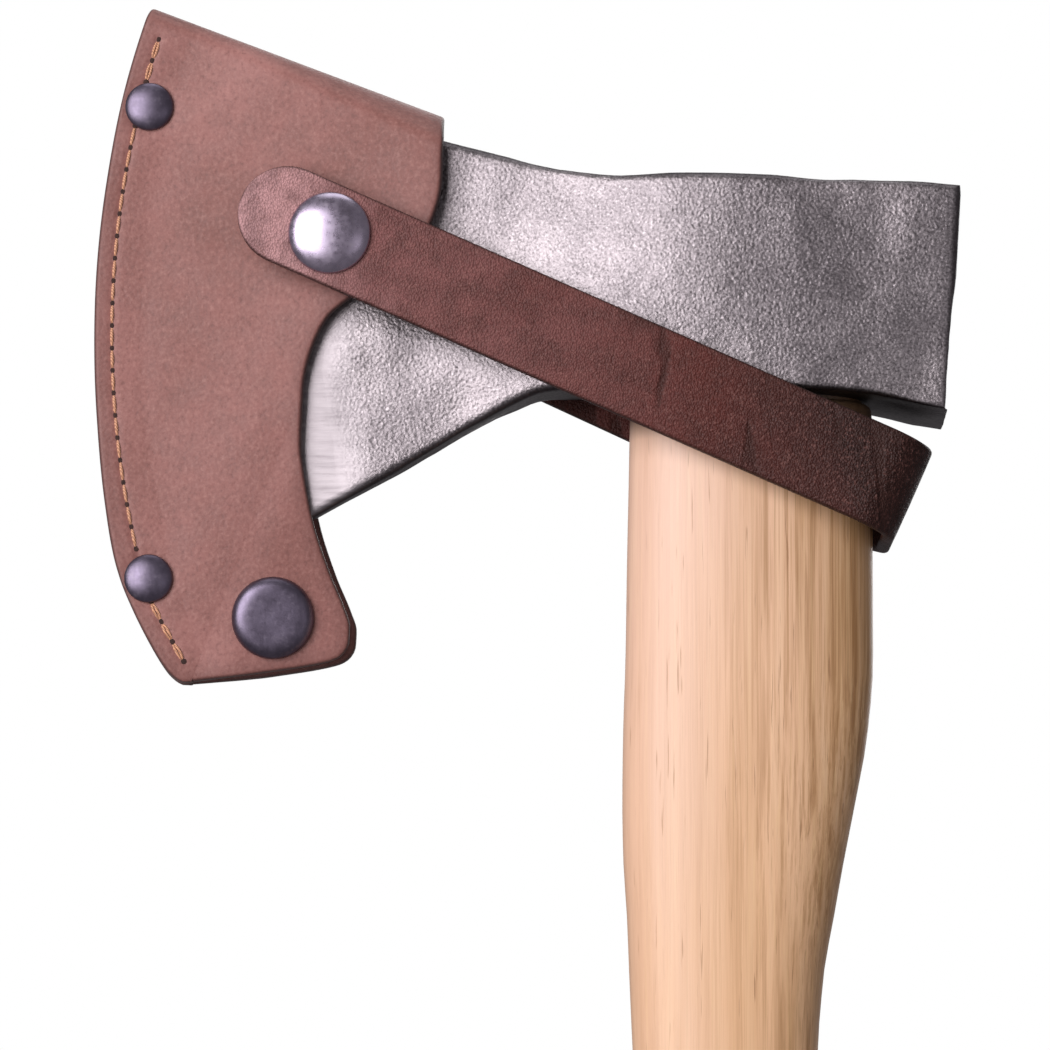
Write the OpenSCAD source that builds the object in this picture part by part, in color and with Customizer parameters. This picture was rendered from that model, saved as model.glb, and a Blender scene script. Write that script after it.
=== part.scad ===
// Felling axe with a folded and riveted leather sheath, closed by a strap round the handle.
// +Z runs up the handle, -X is the cutting edge, -Y is the side with the strap's snap cap.
// The origin is the middle of the lower grip, on the handle's centre line.

/* [Handle] */
// Height of the poll's lower corner above the grip
head_z = 535; // [400:5:700]
// Length of handle below the grip
foot_len = 110; // [90:1:130]
// Length of the eye along the head
eye_len = 46; // [40:1:48]
// Width of the eye across the head
eye_w = 21; // [18:0.5:23]
// Clearance between the handle's tongue and the eye
eye_fit = 0.1; // [0.05:0.05:0.3]

/* [Head] */
// Radius of the cutting edge, seen from the side
edge_r = 197.6; // [190:0.2:198]
// Half thickness of the steel at the cutting edge
edge_half = 0.25; // [0.1:0.05:0.5]

/* [Leather] */
// Thickness of the sheath's leather
leather = 2.6; // [2:0.1:3.2]
// Thickness of the strap's leather
strap_t = 2.8; // [2:0.1:3]
// Width of the strap
strap_w = 20.5; // [16:0.5:24]
// Thickness of the welt between the two layers
welt_t = 3.6; // [3:0.1:4]
// Distance between stitches along the seam
stitch_pitch = 4.7; // [3:0.1:7]

/* [Metal fittings] */
// Radius of the large snap caps
cap_r = 8.5; // [7:0.1:9]
// Radius of the small rivet caps
rivet_r = 5; // [4:0.1:5.5]

/* [Hidden] */
$fn = 64;

steel = "#8f8f92";
hickory = "#dcb98c";
hide = "#8a5f55";
dark_hide = "#5c3a33";
gunmetal = "#56545c";
thread = "#b9824a";

// Everything round the head is placed from the poll's lower corner.
// The cutting edge, the seam and the sheath's edge are arcs about one centre.
arc_x = 69.3;
arc_z = 20.3;

// Head, seen from the side. The left end runs past the cutting edge, which the bevel cuts.
head_side = [
    [-145, 83.8], [-62.3, 59.2], [-52.2, 56.6], [-37.7, 53.1], [-26, 51.7], [-8, 51.3],
    [6, 50.7], [23.5, 50.2], [41.3, 49.2], [42.73, 47.8], [40.18, 4.4], [39.3, 2.3], [38, 1.8],
    [36, 2.4], [31, 3.6], [25.5, 5.1], [20, 5.7], [0, 6.5], [-30, 7], [-41, 7.6], [-46, 6.5],
    [-145, -49.7]
];
// Half thickness of the head by distance from the arc's centre
head_half = [
    [edge_r, edge_half], [195.5, 0.8], [187.6, 1.6], [172, 2.6], [150, 4.1], [135, 5.4],
    [122, 7.6], [110, 10.4], [98, 13.5], [88, 15.3], [76, 16.2], [62, 16.5], [45, 15.5], [20, 15.5]
];
eye_top = 60;
tongue_top = 51;
shoulder_z = 4.9;

// Handle sections: height from the head's lower corner, left edge, right edge, half thickness
handle_cut = [
    [3.2, -25.2, 25, 12.8], [-12, -25.5, 25.1, 13.2], [-30, -25.9, 25.1, 13.3],
    [-48, -26.2, 25.1, 13.3], [-63, -26.7, 23.9, 13.2], [-79, -26.9, 21, 13],
    [-90, -26.7, 18.8, 12.8], [-101, -26, 16.8, 12.6], [-114, -25.5, 14.5, 12.5],
    [-132, -24.7, 13.2, 12.4], [-170, -22.4, 13, 12.2], [-220, -19.4, 14.2, 12],
    [-290, -15.4, 17.4, 11.8], [-370, -12.2, 20.4, 11.7], [-450, -12.4, 20.2, 11.7],
    [-500, -14.6, 18, 11.9], [-535, -17.2, 15.4, 12], [-570, -20.6, 12.8, 12.3],
    [-600, -25, 11.2, 12.9], [-622, -29.6, 10.4, 13.8], [-636, -31.4, 9.2, 13.9]
];
handle_sides = 32;
oval_power = 2.4;

wedge_len = 38;
wedge_top = 5;
wedge_tip = 1.2;
wedge_depth = 36;
ring_x = 7;
ring_r = 7.5;
ring_wall = 1.6;
ring_depth = 20;

// Sheath, seen from the side. Its left edge is an arc, and its top edge is the fold.
fold_x = -124.4;
fold_z = 88.4;
fold_tilt = 20.8;
sheath_edge_r = 206.2;
sheath_side = [
    [-150, 110], [-63.6, 78], [-63.6, 57.7], [-64.2, 49], [-66.5, 42], [-74, 33.6],
    [-84.3, 25.9], [-87.4, 23.2], [-89.8, 19.3], [-91.5, 14.7], [-92.6, 10], [-93.2, 4],
    [-93.3, -4], [-92.6, -10.5], [-91, -19.1], [-87.4, -30.3], [-84.3, -37.8],
    [-83.1, -41.5], [-83.4, -45], [-84.8, -47.5], [-87, -48.8], [-99.7, -51],
    [-115, -53], [-118, -53.1], [-119.9, -51.9], [-121.3, -50.4], [-125.2, -44], [-128.3, -37.8],
    [-130.8, -31.9], [-150, 10]
];
// Gap between the layers: constant over the welt, then opening towards the cheeks
gap = welt_t / 2;
gap_start_r = 195.4;
gap_slope = 0.11;
mouth_r = 130;
// The folded top is a low roof, so half its width grows this much per millimetre of depth.
roof_slope = 2.6;
roof_apex = 0.8;
roof_inside = (leather * sqrt(1 + roof_slope ^ 2) - roof_apex) / roof_slope;
welt_r = 198.4;

// The corner flaps bend about a line from the sheath's lower edge to its mouth.
flap_x = -116;
flap_z = -53;
flap_turn = 68.95;
flap_len = 63.2;
flap_pitch = 4;
flap_yaw = 3.34;
flap_gap = 0.3;
corner_t = 18.5;
corner_n = 10.8;

stitch_r = 202;
thread_r = 0.42;
rivets = [[200, 166.5], [201, 195]];
stitch_runs = [[163.1, 2], [168.45, 19], [197, 3]];

// The strap lies along a line that falls to the right, from the strap snap to the bend.
snap_x = -87.2;
snap_z = 38.7;
strap_fall = 24.3;
strap_tip = 20;
bend_u = 131.8;
bend_ro = 9;
bend_ri = bend_ro - strap_t;
front_y = 12.8;
front_yaw = 2.56;
rear_y = 18;
rear_start_y = 9.1;
rear_slope = 0.0975;
rear_tip_u = -12;
corner_u = bend_u - bend_ro;
front_corner_y = front_y + corner_u * tan(front_yaw) - bend_ri;
rear_corner_y = rear_y - bend_ri;
hinge_gap_angle = 2.4;
// The front corner splits halfway round, the rear corner a third of the way from the rear leg.
front_split = 45;
rear_split = 60;

bore_r = 3.4;
socket_r = 5.6;
stud_r = 2.4;
stem_r = 1.7;
spring_wire = 0.3;
spring_ring = 3.8;

function polar(r, a) = [arc_x + r * cos(a), arc_z + r * sin(a)];
function oval(t, a, b) = [
    a * sign(cos(t)) * pow(abs(cos(t)), 2 / oval_power),
    b * sign(sin(t)) * pow(abs(sin(t)), 2 / oval_power)
];

// A solid that is the same all the way across, from its outline seen from the side
module across(outline, width = 60) {
    rotate([90, 0, 0]) linear_extrude(width, center = true) polygon(outline);
}

// A solid turned about the arc's centre, from distances and half thicknesses
module arc_body(halves) {
    outline = concat(
        halves, [for (i = [len(halves) - 1:-1:0]) [halves[i][0], -halves[i][1]]]
    );
    translate([arc_x, 0, arc_z]) rotate([90, 0, 0]) rotate_extrude($fn = 200) polygon(outline);
}

// The space under the folded top, from its apex down
module roof(apex, drop) {
    reach = 14;
    low = 190;
    section = [
        [apex, -drop], [reach, -drop - (reach - apex) / roof_slope], [reach, -low],
        [-reach, -low], [-reach, -drop - (reach - apex) / roof_slope], [-apex, -drop]
    ];
    translate([fold_x, 0, fold_z]) rotate([0, fold_tilt, 0]) translate([-80, 0, 0])
        rotate([90, 0, 90]) linear_extrude(220) polygon(section);
}

// A shallow dome on the plane z = 0
module dome(r, h, rim = 0.5) {
    ball = (r * r + (h - rim) * (h - rim)) / (2 * (h - rim));
    intersection() {
        translate([0, 0, h - ball]) sphere(ball, $fn = 120);
        cylinder(r = r, h = h);
    }
}

module eye_outline(clear) {
    polygon([for (i = [0:47]) oval(i * 7.5, eye_len / 2 - clear, eye_w / 2 - clear)]);
}

module ring_space() {
    translate([ring_x, 0, tongue_top - ring_depth]) difference() {
        cylinder(r = ring_r, h = ring_depth);
        translate([0, 0, -1]) cylinder(r = ring_r - ring_wall, h = ring_depth + 2);
    }
}

module wedge_space() {
    section = [
        [-wedge_top / 2, tongue_top], [wedge_top / 2, tongue_top],
        [wedge_tip / 2, tongue_top - wedge_depth], [-wedge_tip / 2, tongue_top - wedge_depth]
    ];
    translate([-wedge_len / 2, 0, 0]) rotate([90, 0, 90]) linear_extrude(wedge_len) polygon(section);
}

module head() {
    color(steel) translate([0, 0, head_z]) difference() {
        intersection() {
            across(head_side);
            arc_body(head_half);
        }
        linear_extrude(eye_top) eye_outline(0);
    }
}

// One ring of points at a height, between a left and a right edge
function handle_ring(z, left, right, half) = [
    for (i = [0:handle_sides - 1])
        let (p = oval(i * 360 / handle_sides, (right - left) / 2, half))
        [p[0] + (left + right) / 2, p[1], z]
];

module handle_blank() {
    half = eye_len / 2 - eye_fit;
    foot = handle_cut[len(handle_cut) - 1];
    rings = concat(
        [handle_ring(tongue_top, -half, half, eye_w / 2 - eye_fit)],
        [handle_ring(shoulder_z, -half, half, eye_w / 2 - eye_fit)],
        [handle_ring(shoulder_z, -23.6, 23.6, 11.8)],
        [for (c = handle_cut) handle_ring(c[0], c[1], c[2], c[3])],
        [handle_ring(-head_z - foot_len + 2.2, foot[1] + 2.4, foot[2] - 2.2, foot[3] - 1.6)],
        [handle_ring(-head_z - foot_len, foot[1] + 6.5, foot[2] - 6, foot[3] - 5)]
    );
    n = handle_sides;
    last = len(rings) - 1;
    sides = [
        for (k = [0:last - 1]) for (i = [0:n - 1])
            [k * n + i, k * n + (i + 1) % n, (k + 1) * n + (i + 1) % n, (k + 1) * n + i]
    ];
    caps = [[for (i = [n - 1:-1:0]) i], [for (i = [0:n - 1]) last * n + i]];
    polyhedron([for (r = rings) each r], concat(sides, caps), convexity = 4);
}

module handle() {
    color(hickory) translate([0, 0, head_z]) difference() {
        handle_blank();
        wedge_space();
        ring_space();
    }
}

module wood_wedge() {
    color("#c69c66") translate([0, 0, head_z]) difference() {
        wedge_space();
        ring_space();
    }
}

module ring_wedge() {
    color(steel) translate([0, 0, head_z]) ring_space();
}

// Where a rivet or a snap goes through the sheath, a hole is left for its stem.
module stem_hole(r) {
    rotate([90, 0, 0]) cylinder(r = r, h = 60, center = true);
}

// The side of the flaps' line that bends, from this far beyond the line
module flap_side(clear) {
    translate([flap_x, 0, flap_z]) rotate([0, -flap_turn, 0])
        translate([-30, -30, -80 - clear]) cube([30 + flap_len + 6, 60, 80]);
}

module sheath_leather() {
    halves = [
        [sheath_edge_r, gap], [gap_start_r, gap],
        [mouth_r, gap + gap_slope * (gap_start_r - mouth_r)]
    ];
    color(hide) translate([0, 0, head_z]) difference() {
        intersection() {
            across(sheath_side);
            arc_body([for (h = halves) [h[0], h[1] + leather]]);
            roof(roof_apex, 0);
        }
        intersection() {
            arc_body([for (h = halves) [h[0] + (h[0] > 200 ? 5 : 0) - (h[0] < 150 ? 5 : 0), h[1]]]);
            roof(0.01, roof_inside);
        }
        flap_side(0);
        for (p = rivets) let (q = polar(p[0], p[1])) translate([q[0], 0, q[1]]) stem_hole(stem_r);
        strap_place() rotate([90, 0, 0]) cylinder(r = stem_r, h = 30, center = true);
        anchor_place() rotate([90, 0, 0]) cylinder(r = stem_r, h = 20, center = true);
    }
}

// The frame of the front flap: x along its bending line, -z across the flap, y = 0 mid plane
module flap_place() {
    translate([flap_x, 0, flap_z]) rotate([0, -flap_turn, 0]) rotate([flap_pitch, 0, -flap_yaw])
        children();
}

module flap_blank() {
    difference() {
        intersection() {
            across(sheath_side);
            flap_side(flap_gap);
            flap_place() translate([-30, -gap - leather, -60]) cube([130, leather, 80]);
        }
        corner_place() rotate([90, 0, 0]) cylinder(r = stem_r, h = 20, center = true);
    }
}

module front_flap() {
    color(hide) translate([0, 0, head_z]) flap_blank();
}

module back_flap() {
    color(hide) translate([0, 0, head_z]) mirror([0, 1, 0]) flap_blank();
}

module welt() {
    seam_end = [[-119.9, -36], [-116.4, -54], [-100, -60], [-80, 0], [-100, 20], [-100, -36]];
    color(dark_hide) translate([0, 0, head_z]) difference() {
        intersection() {
            across(sheath_side, welt_t);
            arc_body([[sheath_edge_r, 8], [150, 8]]);
            roof(0.01, roof_inside);
        }
        rotate([90, 0, 0]) translate([arc_x, arc_z, -5]) cylinder(r = welt_r, h = 10, $fn = 200);
        across(seam_end);
        for (p = rivets) let (q = polar(p[0], p[1])) translate([q[0], 0, q[1]]) stem_hole(stem_r);
    }
}

// The last run of stitches bends in with the sheath's lower corner.
function stitch_inset(a) = a > 196 ? (a - 196) * 0.65 : 0;

module seam_thread() {
    step = stitch_pitch / stitch_r * 180 / PI;
    lift = gap + leather + thread_r;
    color(thread) translate([0, 0, head_z])
        for (side = [-1, 1]) for (run = stitch_runs) for (i = [0:run[1] - 1]) {
            a = run[0] + i * step;
            p = polar(stitch_r - stitch_inset(a), a);
            translate([p[0], side * lift, p[1]]) rotate([0, -a, 0])
                cylinder(r = thread_r, h = stitch_pitch * 0.68, center = true, $fn = 16);
        }
}

module rivet_caps() {
    color(gunmetal) translate([0, 0, head_z]) for (p = rivets) let (q = polar(p[0], p[1]))
        for (side = [0, 1]) translate([q[0], 0, q[1]]) mirror([0, side, 0])
            translate([0, -gap - leather - 0.05, 0]) rotate([90, 0, 0]) dome(rivet_r, 2);
}

module rivet_posts() {
    color(gunmetal) translate([0, 0, head_z]) for (p = rivets) let (q = polar(p[0], p[1]))
        translate([q[0], 0, q[1]]) rotate([90, 0, 0])
            cylinder(r = stem_r - 0.1, h = 2 * (gap + leather) + 0.1, center = true);
}

// The corner snap sits on the front flap's inner face, its axis along -y.
module corner_place() {
    flap_place() translate([corner_t, -gap, -corner_n]) children();
}

// A snap's cap: a dome outside a sheet of leather, with its stem through it. The sheet is y = 0 to -t.
module snap_cap(r, t) {
    translate([0, -t - 0.05, 0]) rotate([90, 0, 0]) dome(r, 3);
    translate([0, 0.01, 0]) rotate([90, 0, 0]) cylinder(r = stem_r - 0.1, h = t + 0.1);
}

// A snap's socket, from the sheet's inner face y = 0 up, with a groove for its spring
module snap_socket(h) {
    groove = h / 2;
    rotate([-90, 0, 0]) difference() {
        translate([0, 0, 0.05]) cylinder(r = socket_r, h = h - 0.05);
        translate([0, 0, 0.6]) cylinder(r = bore_r, h = h);
        translate([0, 0, groove - 0.1]) cylinder(r = spring_ring + 0.5, h = 0.8);
    }
}

module snap_spring(h) {
    rotate([-90, 0, 0]) translate([0, 0, h / 2 + 0.3])
        rotate_extrude(angle = 340) translate([spring_ring, 0]) circle(spring_wire, $fn = 16);
}

// A snap's stud, from a base at y = 0 towards -y
module snap_stud(h) {
    rotate([90, 0, 0]) {
        cylinder(r = 4.6, h = 0.7);
        cylinder(r = stud_r - 0.4, h = h - 1);
        translate([0, 0, h - 1.5]) dome(stud_r, 1.5, 0.7);
    }
}

corner_socket_h = 1.9;
corner_stud_h = 3.2;

module corner_cap() {
    color(gunmetal) translate([0, 0, head_z]) corner_place() snap_cap(cap_r, leather);
}

module corner_socket() {
    color(gunmetal) translate([0, 0, head_z]) corner_place() snap_socket(corner_socket_h);
}

module corner_spring() {
    color(steel) translate([0, 0, head_z]) corner_place() snap_spring(corner_socket_h);
}

module corner_stud() {
    color(gunmetal) translate([0, 0, head_z]) mirror([0, 1, 0]) corner_place()
        rotate([180, 0, 0]) translate([0, -0.05, 0]) snap_stud(corner_stud_h);
}

module corner_eyelet() {
    color(gunmetal) translate([0, 0, head_z]) mirror([0, 1, 0]) corner_place() snap_cap(5.6, leather);
}

// The strap's frame: x along the strap, z across its width, y out of the sheath's mid plane
module strap_frame() {
    translate([snap_x, 0, snap_z]) rotate([0, strap_fall, 0]) children();
}

// The inner face of the front leg at the strap snap
module strap_place() {
    strap_frame() translate([0, -front_y, 0]) rotate([0, 0, -front_yaw]) children();
}

strap_socket_h = 2.4;
strap_stud_lift = 3.9;
strap_stud_h = 3;

module strap_cap() {
    color(gunmetal) translate([0, 0, head_z]) strap_place() snap_cap(cap_r, strap_t);
}

module strap_socket() {
    color(gunmetal) translate([0, 0, head_z]) strap_place() snap_socket(strap_socket_h);
}

module strap_spring() {
    color(steel) translate([0, 0, head_z]) strap_place() snap_spring(strap_socket_h);
}

module strap_stud() {
    color(gunmetal) translate([0, 0, head_z]) strap_place()
        translate([0, strap_stud_lift, 0]) snap_stud(strap_stud_h);
}

module strap_eyelet() {
    color(gunmetal) translate([0, 0, head_z]) strap_place() {
        translate([0, 7.5, 0]) rotate([90, 0, 0]) cylinder(r = stem_r - 0.1, h = 3.6);
        translate([0, 8, 0]) rotate([90, 0, 0]) cylinder(r = 4.2, h = 0.5);
    }
}

// A strip with one round end, seen along y: x from the tip to the other end
module strap_strip(tip, end, thick) {
    r = strap_w / 2;
    rotate([90, 0, 0]) linear_extrude(thick) union() {
        translate([tip + r, 0]) circle(r);
        translate([tip + r, -r]) square([end - tip - r, strap_w]);
    }
}

// A part of one rounded corner of the strap, between two angles
module strap_corner(start, end) {
    rotate_extrude(angle = end - start, start = start)
        translate([bend_ri, -strap_w / 2]) square([strap_t, strap_w]);
}

module strap_front_leg() {
    color(dark_hide) translate([0, 0, head_z]) {
        difference() {
            strap_place() strap_strip(-strap_tip, corner_u / cos(front_yaw), strap_t);
            strap_place() rotate([90, 0, 0]) cylinder(r = stem_r, h = 20, center = true);
        }
        strap_frame() translate([corner_u, -front_corner_y, 0]) strap_corner(-90, -front_split - hinge_gap_angle);
    }
}

module strap_bend() {
    color(dark_hide) translate([0, 0, head_z]) strap_frame() {
        translate([corner_u, -front_corner_y, 0]) strap_corner(-front_split, 0);
        translate([corner_u, rear_corner_y, 0]) strap_corner(0, rear_split);
        translate([bend_u - strap_t, -front_corner_y, -strap_w / 2])
            cube([strap_t, front_corner_y + rear_corner_y, strap_w]);
    }
}

module strap_rear_leg() {
    lean = atan(rear_slope);
    knee = (rear_y - rear_start_y) / rear_slope;
    skew = strap_t * tan(lean / 2);
    section = [
        [-30, rear_start_y - 30 * rear_slope], [knee, rear_y], [corner_u, rear_y],
        [corner_u, rear_y + strap_t], [knee - skew, rear_y + strap_t],
        [-30, rear_start_y - 30 * rear_slope + strap_t / cos(lean)]
    ];
    color(dark_hide) translate([0, 0, head_z]) {
        difference() {
            intersection() {
                strap_frame() linear_extrude(strap_w + 2, center = true) polygon(section);
                strap_frame() translate([0, 40, 0]) strap_strip(rear_tip_u, corner_u, 60);
            }
            anchor_place() rotate([90, 0, 0]) cylinder(r = stem_r, h = 30, center = true);
        }
        strap_frame() translate([corner_u, rear_corner_y, 0]) strap_corner(rear_split + hinge_gap_angle, 90);
    }
}

// The inner face of the rear leg at the rivet that holds it to the back panel, +y outwards
module anchor_place() {
    strap_frame() translate([0, rear_start_y, 0]) rotate([0, 0, atan(rear_slope)]) children();
}

module anchor_rivet_cap() {
    color(gunmetal) translate([0, 0, head_z]) anchor_place()
        translate([0, strap_t + 0.05, 0]) rotate([-90, 0, 0]) dome(rivet_r, 2);
}

module anchor_rivet_post() {
    color(gunmetal) translate([0, 0, head_z]) anchor_place() {
        translate([0, strap_t, 0]) rotate([90, 0, 0]) cylinder(r = stem_r - 0.1, h = strap_t + 3.7);
        translate([0, -3.7, 0]) rotate([90, 0, 0]) cylinder(r = 4.2, h = 0.6);
    }
}

head();
handle();
wood_wedge();
ring_wedge();
sheath_leather();
front_flap();
back_flap();
welt();
seam_thread();
rivet_caps();
rivet_posts();
corner_cap();
corner_socket();
corner_spring();
corner_stud();
corner_eyelet();
strap_cap();
strap_socket();
strap_spring();
strap_stud();
strap_eyelet();
strap_rear_leg();
strap_bend();
strap_front_leg();
anchor_rivet_cap();
anchor_rivet_post();
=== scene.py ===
"""Looks of the felling axe: forged head, hickory handle, and a stitched leather sheath with a strap.

Lengths are in millimetres until a mesh is made. Heights are above the poll's lower corner.
"""

import math

import bmesh
import bpy
import numpy as np
from mathutils import Matrix, Vector, noise


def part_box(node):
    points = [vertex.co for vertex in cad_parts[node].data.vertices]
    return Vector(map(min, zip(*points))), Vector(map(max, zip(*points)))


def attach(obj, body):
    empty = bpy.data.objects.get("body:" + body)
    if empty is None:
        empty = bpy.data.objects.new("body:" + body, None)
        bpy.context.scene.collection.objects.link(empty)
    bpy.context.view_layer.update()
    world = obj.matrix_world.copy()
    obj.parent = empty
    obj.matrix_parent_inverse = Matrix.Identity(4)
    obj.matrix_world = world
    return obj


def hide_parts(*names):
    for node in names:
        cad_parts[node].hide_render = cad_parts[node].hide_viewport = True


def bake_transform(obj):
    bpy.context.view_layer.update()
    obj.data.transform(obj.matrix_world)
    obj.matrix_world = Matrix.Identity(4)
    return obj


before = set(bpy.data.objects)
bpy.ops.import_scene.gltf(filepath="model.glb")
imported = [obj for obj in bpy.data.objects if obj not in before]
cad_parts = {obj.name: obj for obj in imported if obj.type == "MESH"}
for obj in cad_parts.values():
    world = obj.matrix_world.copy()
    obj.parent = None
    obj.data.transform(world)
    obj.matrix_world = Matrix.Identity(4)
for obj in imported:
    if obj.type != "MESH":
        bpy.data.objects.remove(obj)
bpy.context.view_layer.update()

MM = 0.001
TONGUE_TOP = 51.0
head_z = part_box("ring_wedge")[1][2] / MM - TONGUE_TOP

# ---------------------------------------------------------------- driving dimensions

# The cutting edge is an arc. Reaches and angles on the sheath are measured from its centre.
ARC = np.array([69.3, 20.3])
EDGE_R = 197.6
LEATHER = 2.6
GAP = 1.8
GAP_START_R = 195.4
GAP_SLOPE = 0.11
STITCH_R = 202.0
STITCH_STEP = math.degrees(4.7 / STITCH_R)
STITCH_TURN = 196.0
STITCH_INSET = 0.65
# Angle of the first stitch's middle, and the number of stitches
STITCH_RUNS = [(163.1, 2), (168.45, 19), (197.0, 3)]
# Reach and angle
RIVETS = [(200.0, 166.5), (201.0, 195.0)]
WELT_R = 198.4

FOLD = np.array([-124.4, 88.4])
FOLD_TILT = math.radians(20.8)

FLAP = np.array([-116.0, -53.0])
FLAP_TURN = math.radians(68.95)
FLAP_LEN = 63.2
FLAP_PITCH = math.radians(4.0)
FLAP_YAW = math.radians(3.34)
CORNER_SNAP = (18.5, -GAP, -10.8)

SNAP = np.array([-87.2, 38.7])
STRAP_FALL = math.radians(24.3)
STRAP_W = 20.5
STRAP_T = 2.8
STRAP_TIP = 20.0
BEND_U = 131.8
BEND_RO = 9.0
BEND_RI = BEND_RO - STRAP_T
FRONT_Y = 12.8
FRONT_YAW = math.radians(2.56)
REAR_Y = 18.0
REAR_START_Y = 9.1
REAR_SLOPE = 0.0975
REAR_TIP_U = -12.0
CORNER_U = BEND_U - BEND_RO
FRONT_CORNER_Y = -(FRONT_Y + CORNER_U * math.tan(FRONT_YAW) - BEND_RI)
REAR_CORNER_Y = REAR_Y - BEND_RI

# ---------------------------------------------------------------- frames

def shift(x, y, z):
    return Matrix.Translation((x, y, z))


def turn(angle, axis):
    return Matrix.Rotation(angle, 4, axis)


HEAD = shift(0, 0, head_z)
STRAP = HEAD @ shift(SNAP[0], 0, SNAP[1]) @ turn(STRAP_FALL, "Y")
FRONT_LEG = STRAP @ shift(0, -FRONT_Y, 0) @ turn(-FRONT_YAW, "Z")
ANCHOR = STRAP @ shift(0, REAR_START_Y, 0) @ turn(math.atan(REAR_SLOPE), "Z")
FLAP_PLACE = (HEAD @ shift(FLAP[0], 0, FLAP[1]) @ turn(-FLAP_TURN, "Y")
              @ turn(-FLAP_YAW, "Z") @ turn(FLAP_PITCH, "X"))
CORNER = FLAP_PLACE @ shift(*CORNER_SNAP)
MIRROR_Y = Matrix.Scale(-1, 4, (0, 1, 0))


# ---------------------------------------------------------------- mesh helpers

def set_border(mesh, border):
    """Stores each point's distance from a cut edge, in millimetres, which the materials read."""
    values = np.asarray(border, np.float32).ravel()
    mesh.attributes.new("border", "FLOAT", "POINT").data.foreach_set("value", values)


def new_object(name, points, faces, border=None):
    """A smooth mesh object from points in millimetres, with its faces turned outwards."""
    mesh = bpy.data.meshes.new(name)
    mesh.from_pydata([tuple(p) for p in np.asarray(points) * MM], [], faces)
    if border is not None:
        set_border(mesh, border)
    bm = bmesh.new()
    bm.from_mesh(mesh)
    bmesh.ops.remove_doubles(bm, verts=bm.verts, dist=1e-6)
    bmesh.ops.dissolve_degenerate(bm, edges=bm.edges, dist=1e-7)
    bmesh.ops.recalc_face_normals(bm, faces=bm.faces)
    bm.to_mesh(mesh)
    bm.free()
    mesh.polygons.foreach_set("use_smooth", [True] * len(mesh.polygons))
    obj = bpy.data.objects.new(name, mesh)
    bpy.context.scene.collection.objects.link(obj)
    return obj


def grid_faces(rows, cols, start=0, flip=False):
    faces = []
    for i in range(rows - 1):
        for j in range(cols - 1):
            a = start + i * cols + j
            quad = (a, a + 1, a + cols + 1, a + cols)
            faces.append(quad[::-1] if flip else quad)
    return faces


def slab(name, outer, inner, border=None):
    """A closed solid between two grids of points, joined round their rims."""
    rows, cols = outer.shape[:2]
    half = rows * cols
    points = np.concatenate([outer.reshape(-1, 3), inner.reshape(-1, 3)])
    faces = grid_faces(rows, cols) + grid_faces(rows, cols, half, True)
    rim = list(range(cols))
    rim += [i * cols + cols - 1 for i in range(1, rows)]
    rim += [(rows - 1) * cols + j for j in range(cols - 2, -1, -1)]
    rim += [i * cols for i in range(rows - 2, 0, -1)]
    for a, b in zip(rim, rim[1:] + rim[:1]):
        faces.append((a, a + half, b + half, b))
    border = None if border is None else np.tile(border.ravel(), 2)
    obj = new_object(name, points, faces, border=border)
    obj.data.set_sharp_from_angle(angle=math.radians(62))
    return obj


def ring_faces(rings, count):
    """The quads between neighbouring rings of points."""
    faces = []
    for i in range(0, (rings - 1) * count, count):
        for k in range(count):
            n = (k + 1) % count
            faces.append((i + k, i + n, i + count + n, i + count + k))
    return faces


def closed_rings(rings):
    """Points and faces of a closed solid through rings with the same number of points."""
    count = len(rings[0])
    last = (len(rings) - 1) * count
    ends = [tuple(range(count))[::-1], tuple(range(last, last + count))]
    return np.concatenate(rings), ring_faces(len(rings), count) + ends


def lathe(profile, segments=64):
    """Points and faces of a solid turned about z. Its (radius, height) pairs start and end on the axis."""
    turns = [2 * math.pi * k / segments for k in range(segments)]
    points = [(r * math.cos(a), r * math.sin(a), z) for r, z in profile for a in turns]
    return np.array(points), ring_faces(len(profile), segments)


def tube(path, radius, taper, sides=10):
    """Points and faces of a closed round tube along a path, its radius scaled by a taper."""
    path = np.asarray(path, float)
    tangent = np.gradient(path, axis=0)
    tangent /= np.linalg.norm(tangent, axis=1)[:, None]
    side = np.cross(tangent, (0.3, 0.8, 0.5))
    side /= np.linalg.norm(side, axis=1)[:, None]
    up = np.cross(side, tangent)
    turns = [2 * math.pi * k / sides for k in range(sides)]
    rings = []
    for middle, scale, x, y in zip(path, taper, side, up):
        rings.append(np.array([middle + radius * scale * (math.cos(a) * x + math.sin(a) * y) for a in turns]))
    return closed_rings(rings)


def joined(parts):
    """One list of points and faces from several."""
    points, faces, start = [], [], 0
    for p, f in parts:
        points.append(p)
        faces += [tuple(start + v for v in face) for face in f]
        start += len(p)
    return np.concatenate(points), faces


def placed(matrix, points):
    m = np.array(matrix)
    return np.asarray(points) @ m[:3, :3].T + m[:3, 3]


def smooth_noise(points, scale, seed):
    """Repeatable noise from -1 to 1 at each point, with features about scale millimetres across."""
    shift_by = Vector((seed * 17.3, seed * 5.1, seed * 9.7))
    values = [noise.noise(Vector(p) / scale + shift_by) for p in points.reshape(-1, 3)]
    return np.array(values).reshape(points.shape[:-1])


def smooth_step(x):
    """From 0 to 1, level at both ends."""
    x = np.clip(x, 0, 1)
    return x * x * (3 - 2 * x)


def grid_normals(grid):
    du = np.gradient(grid, axis=0)
    dv = np.gradient(grid, axis=1)
    n = np.cross(du, dv)
    length = np.linalg.norm(n, axis=2, keepdims=True)
    return n / np.maximum(length, 1e-9)


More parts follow.
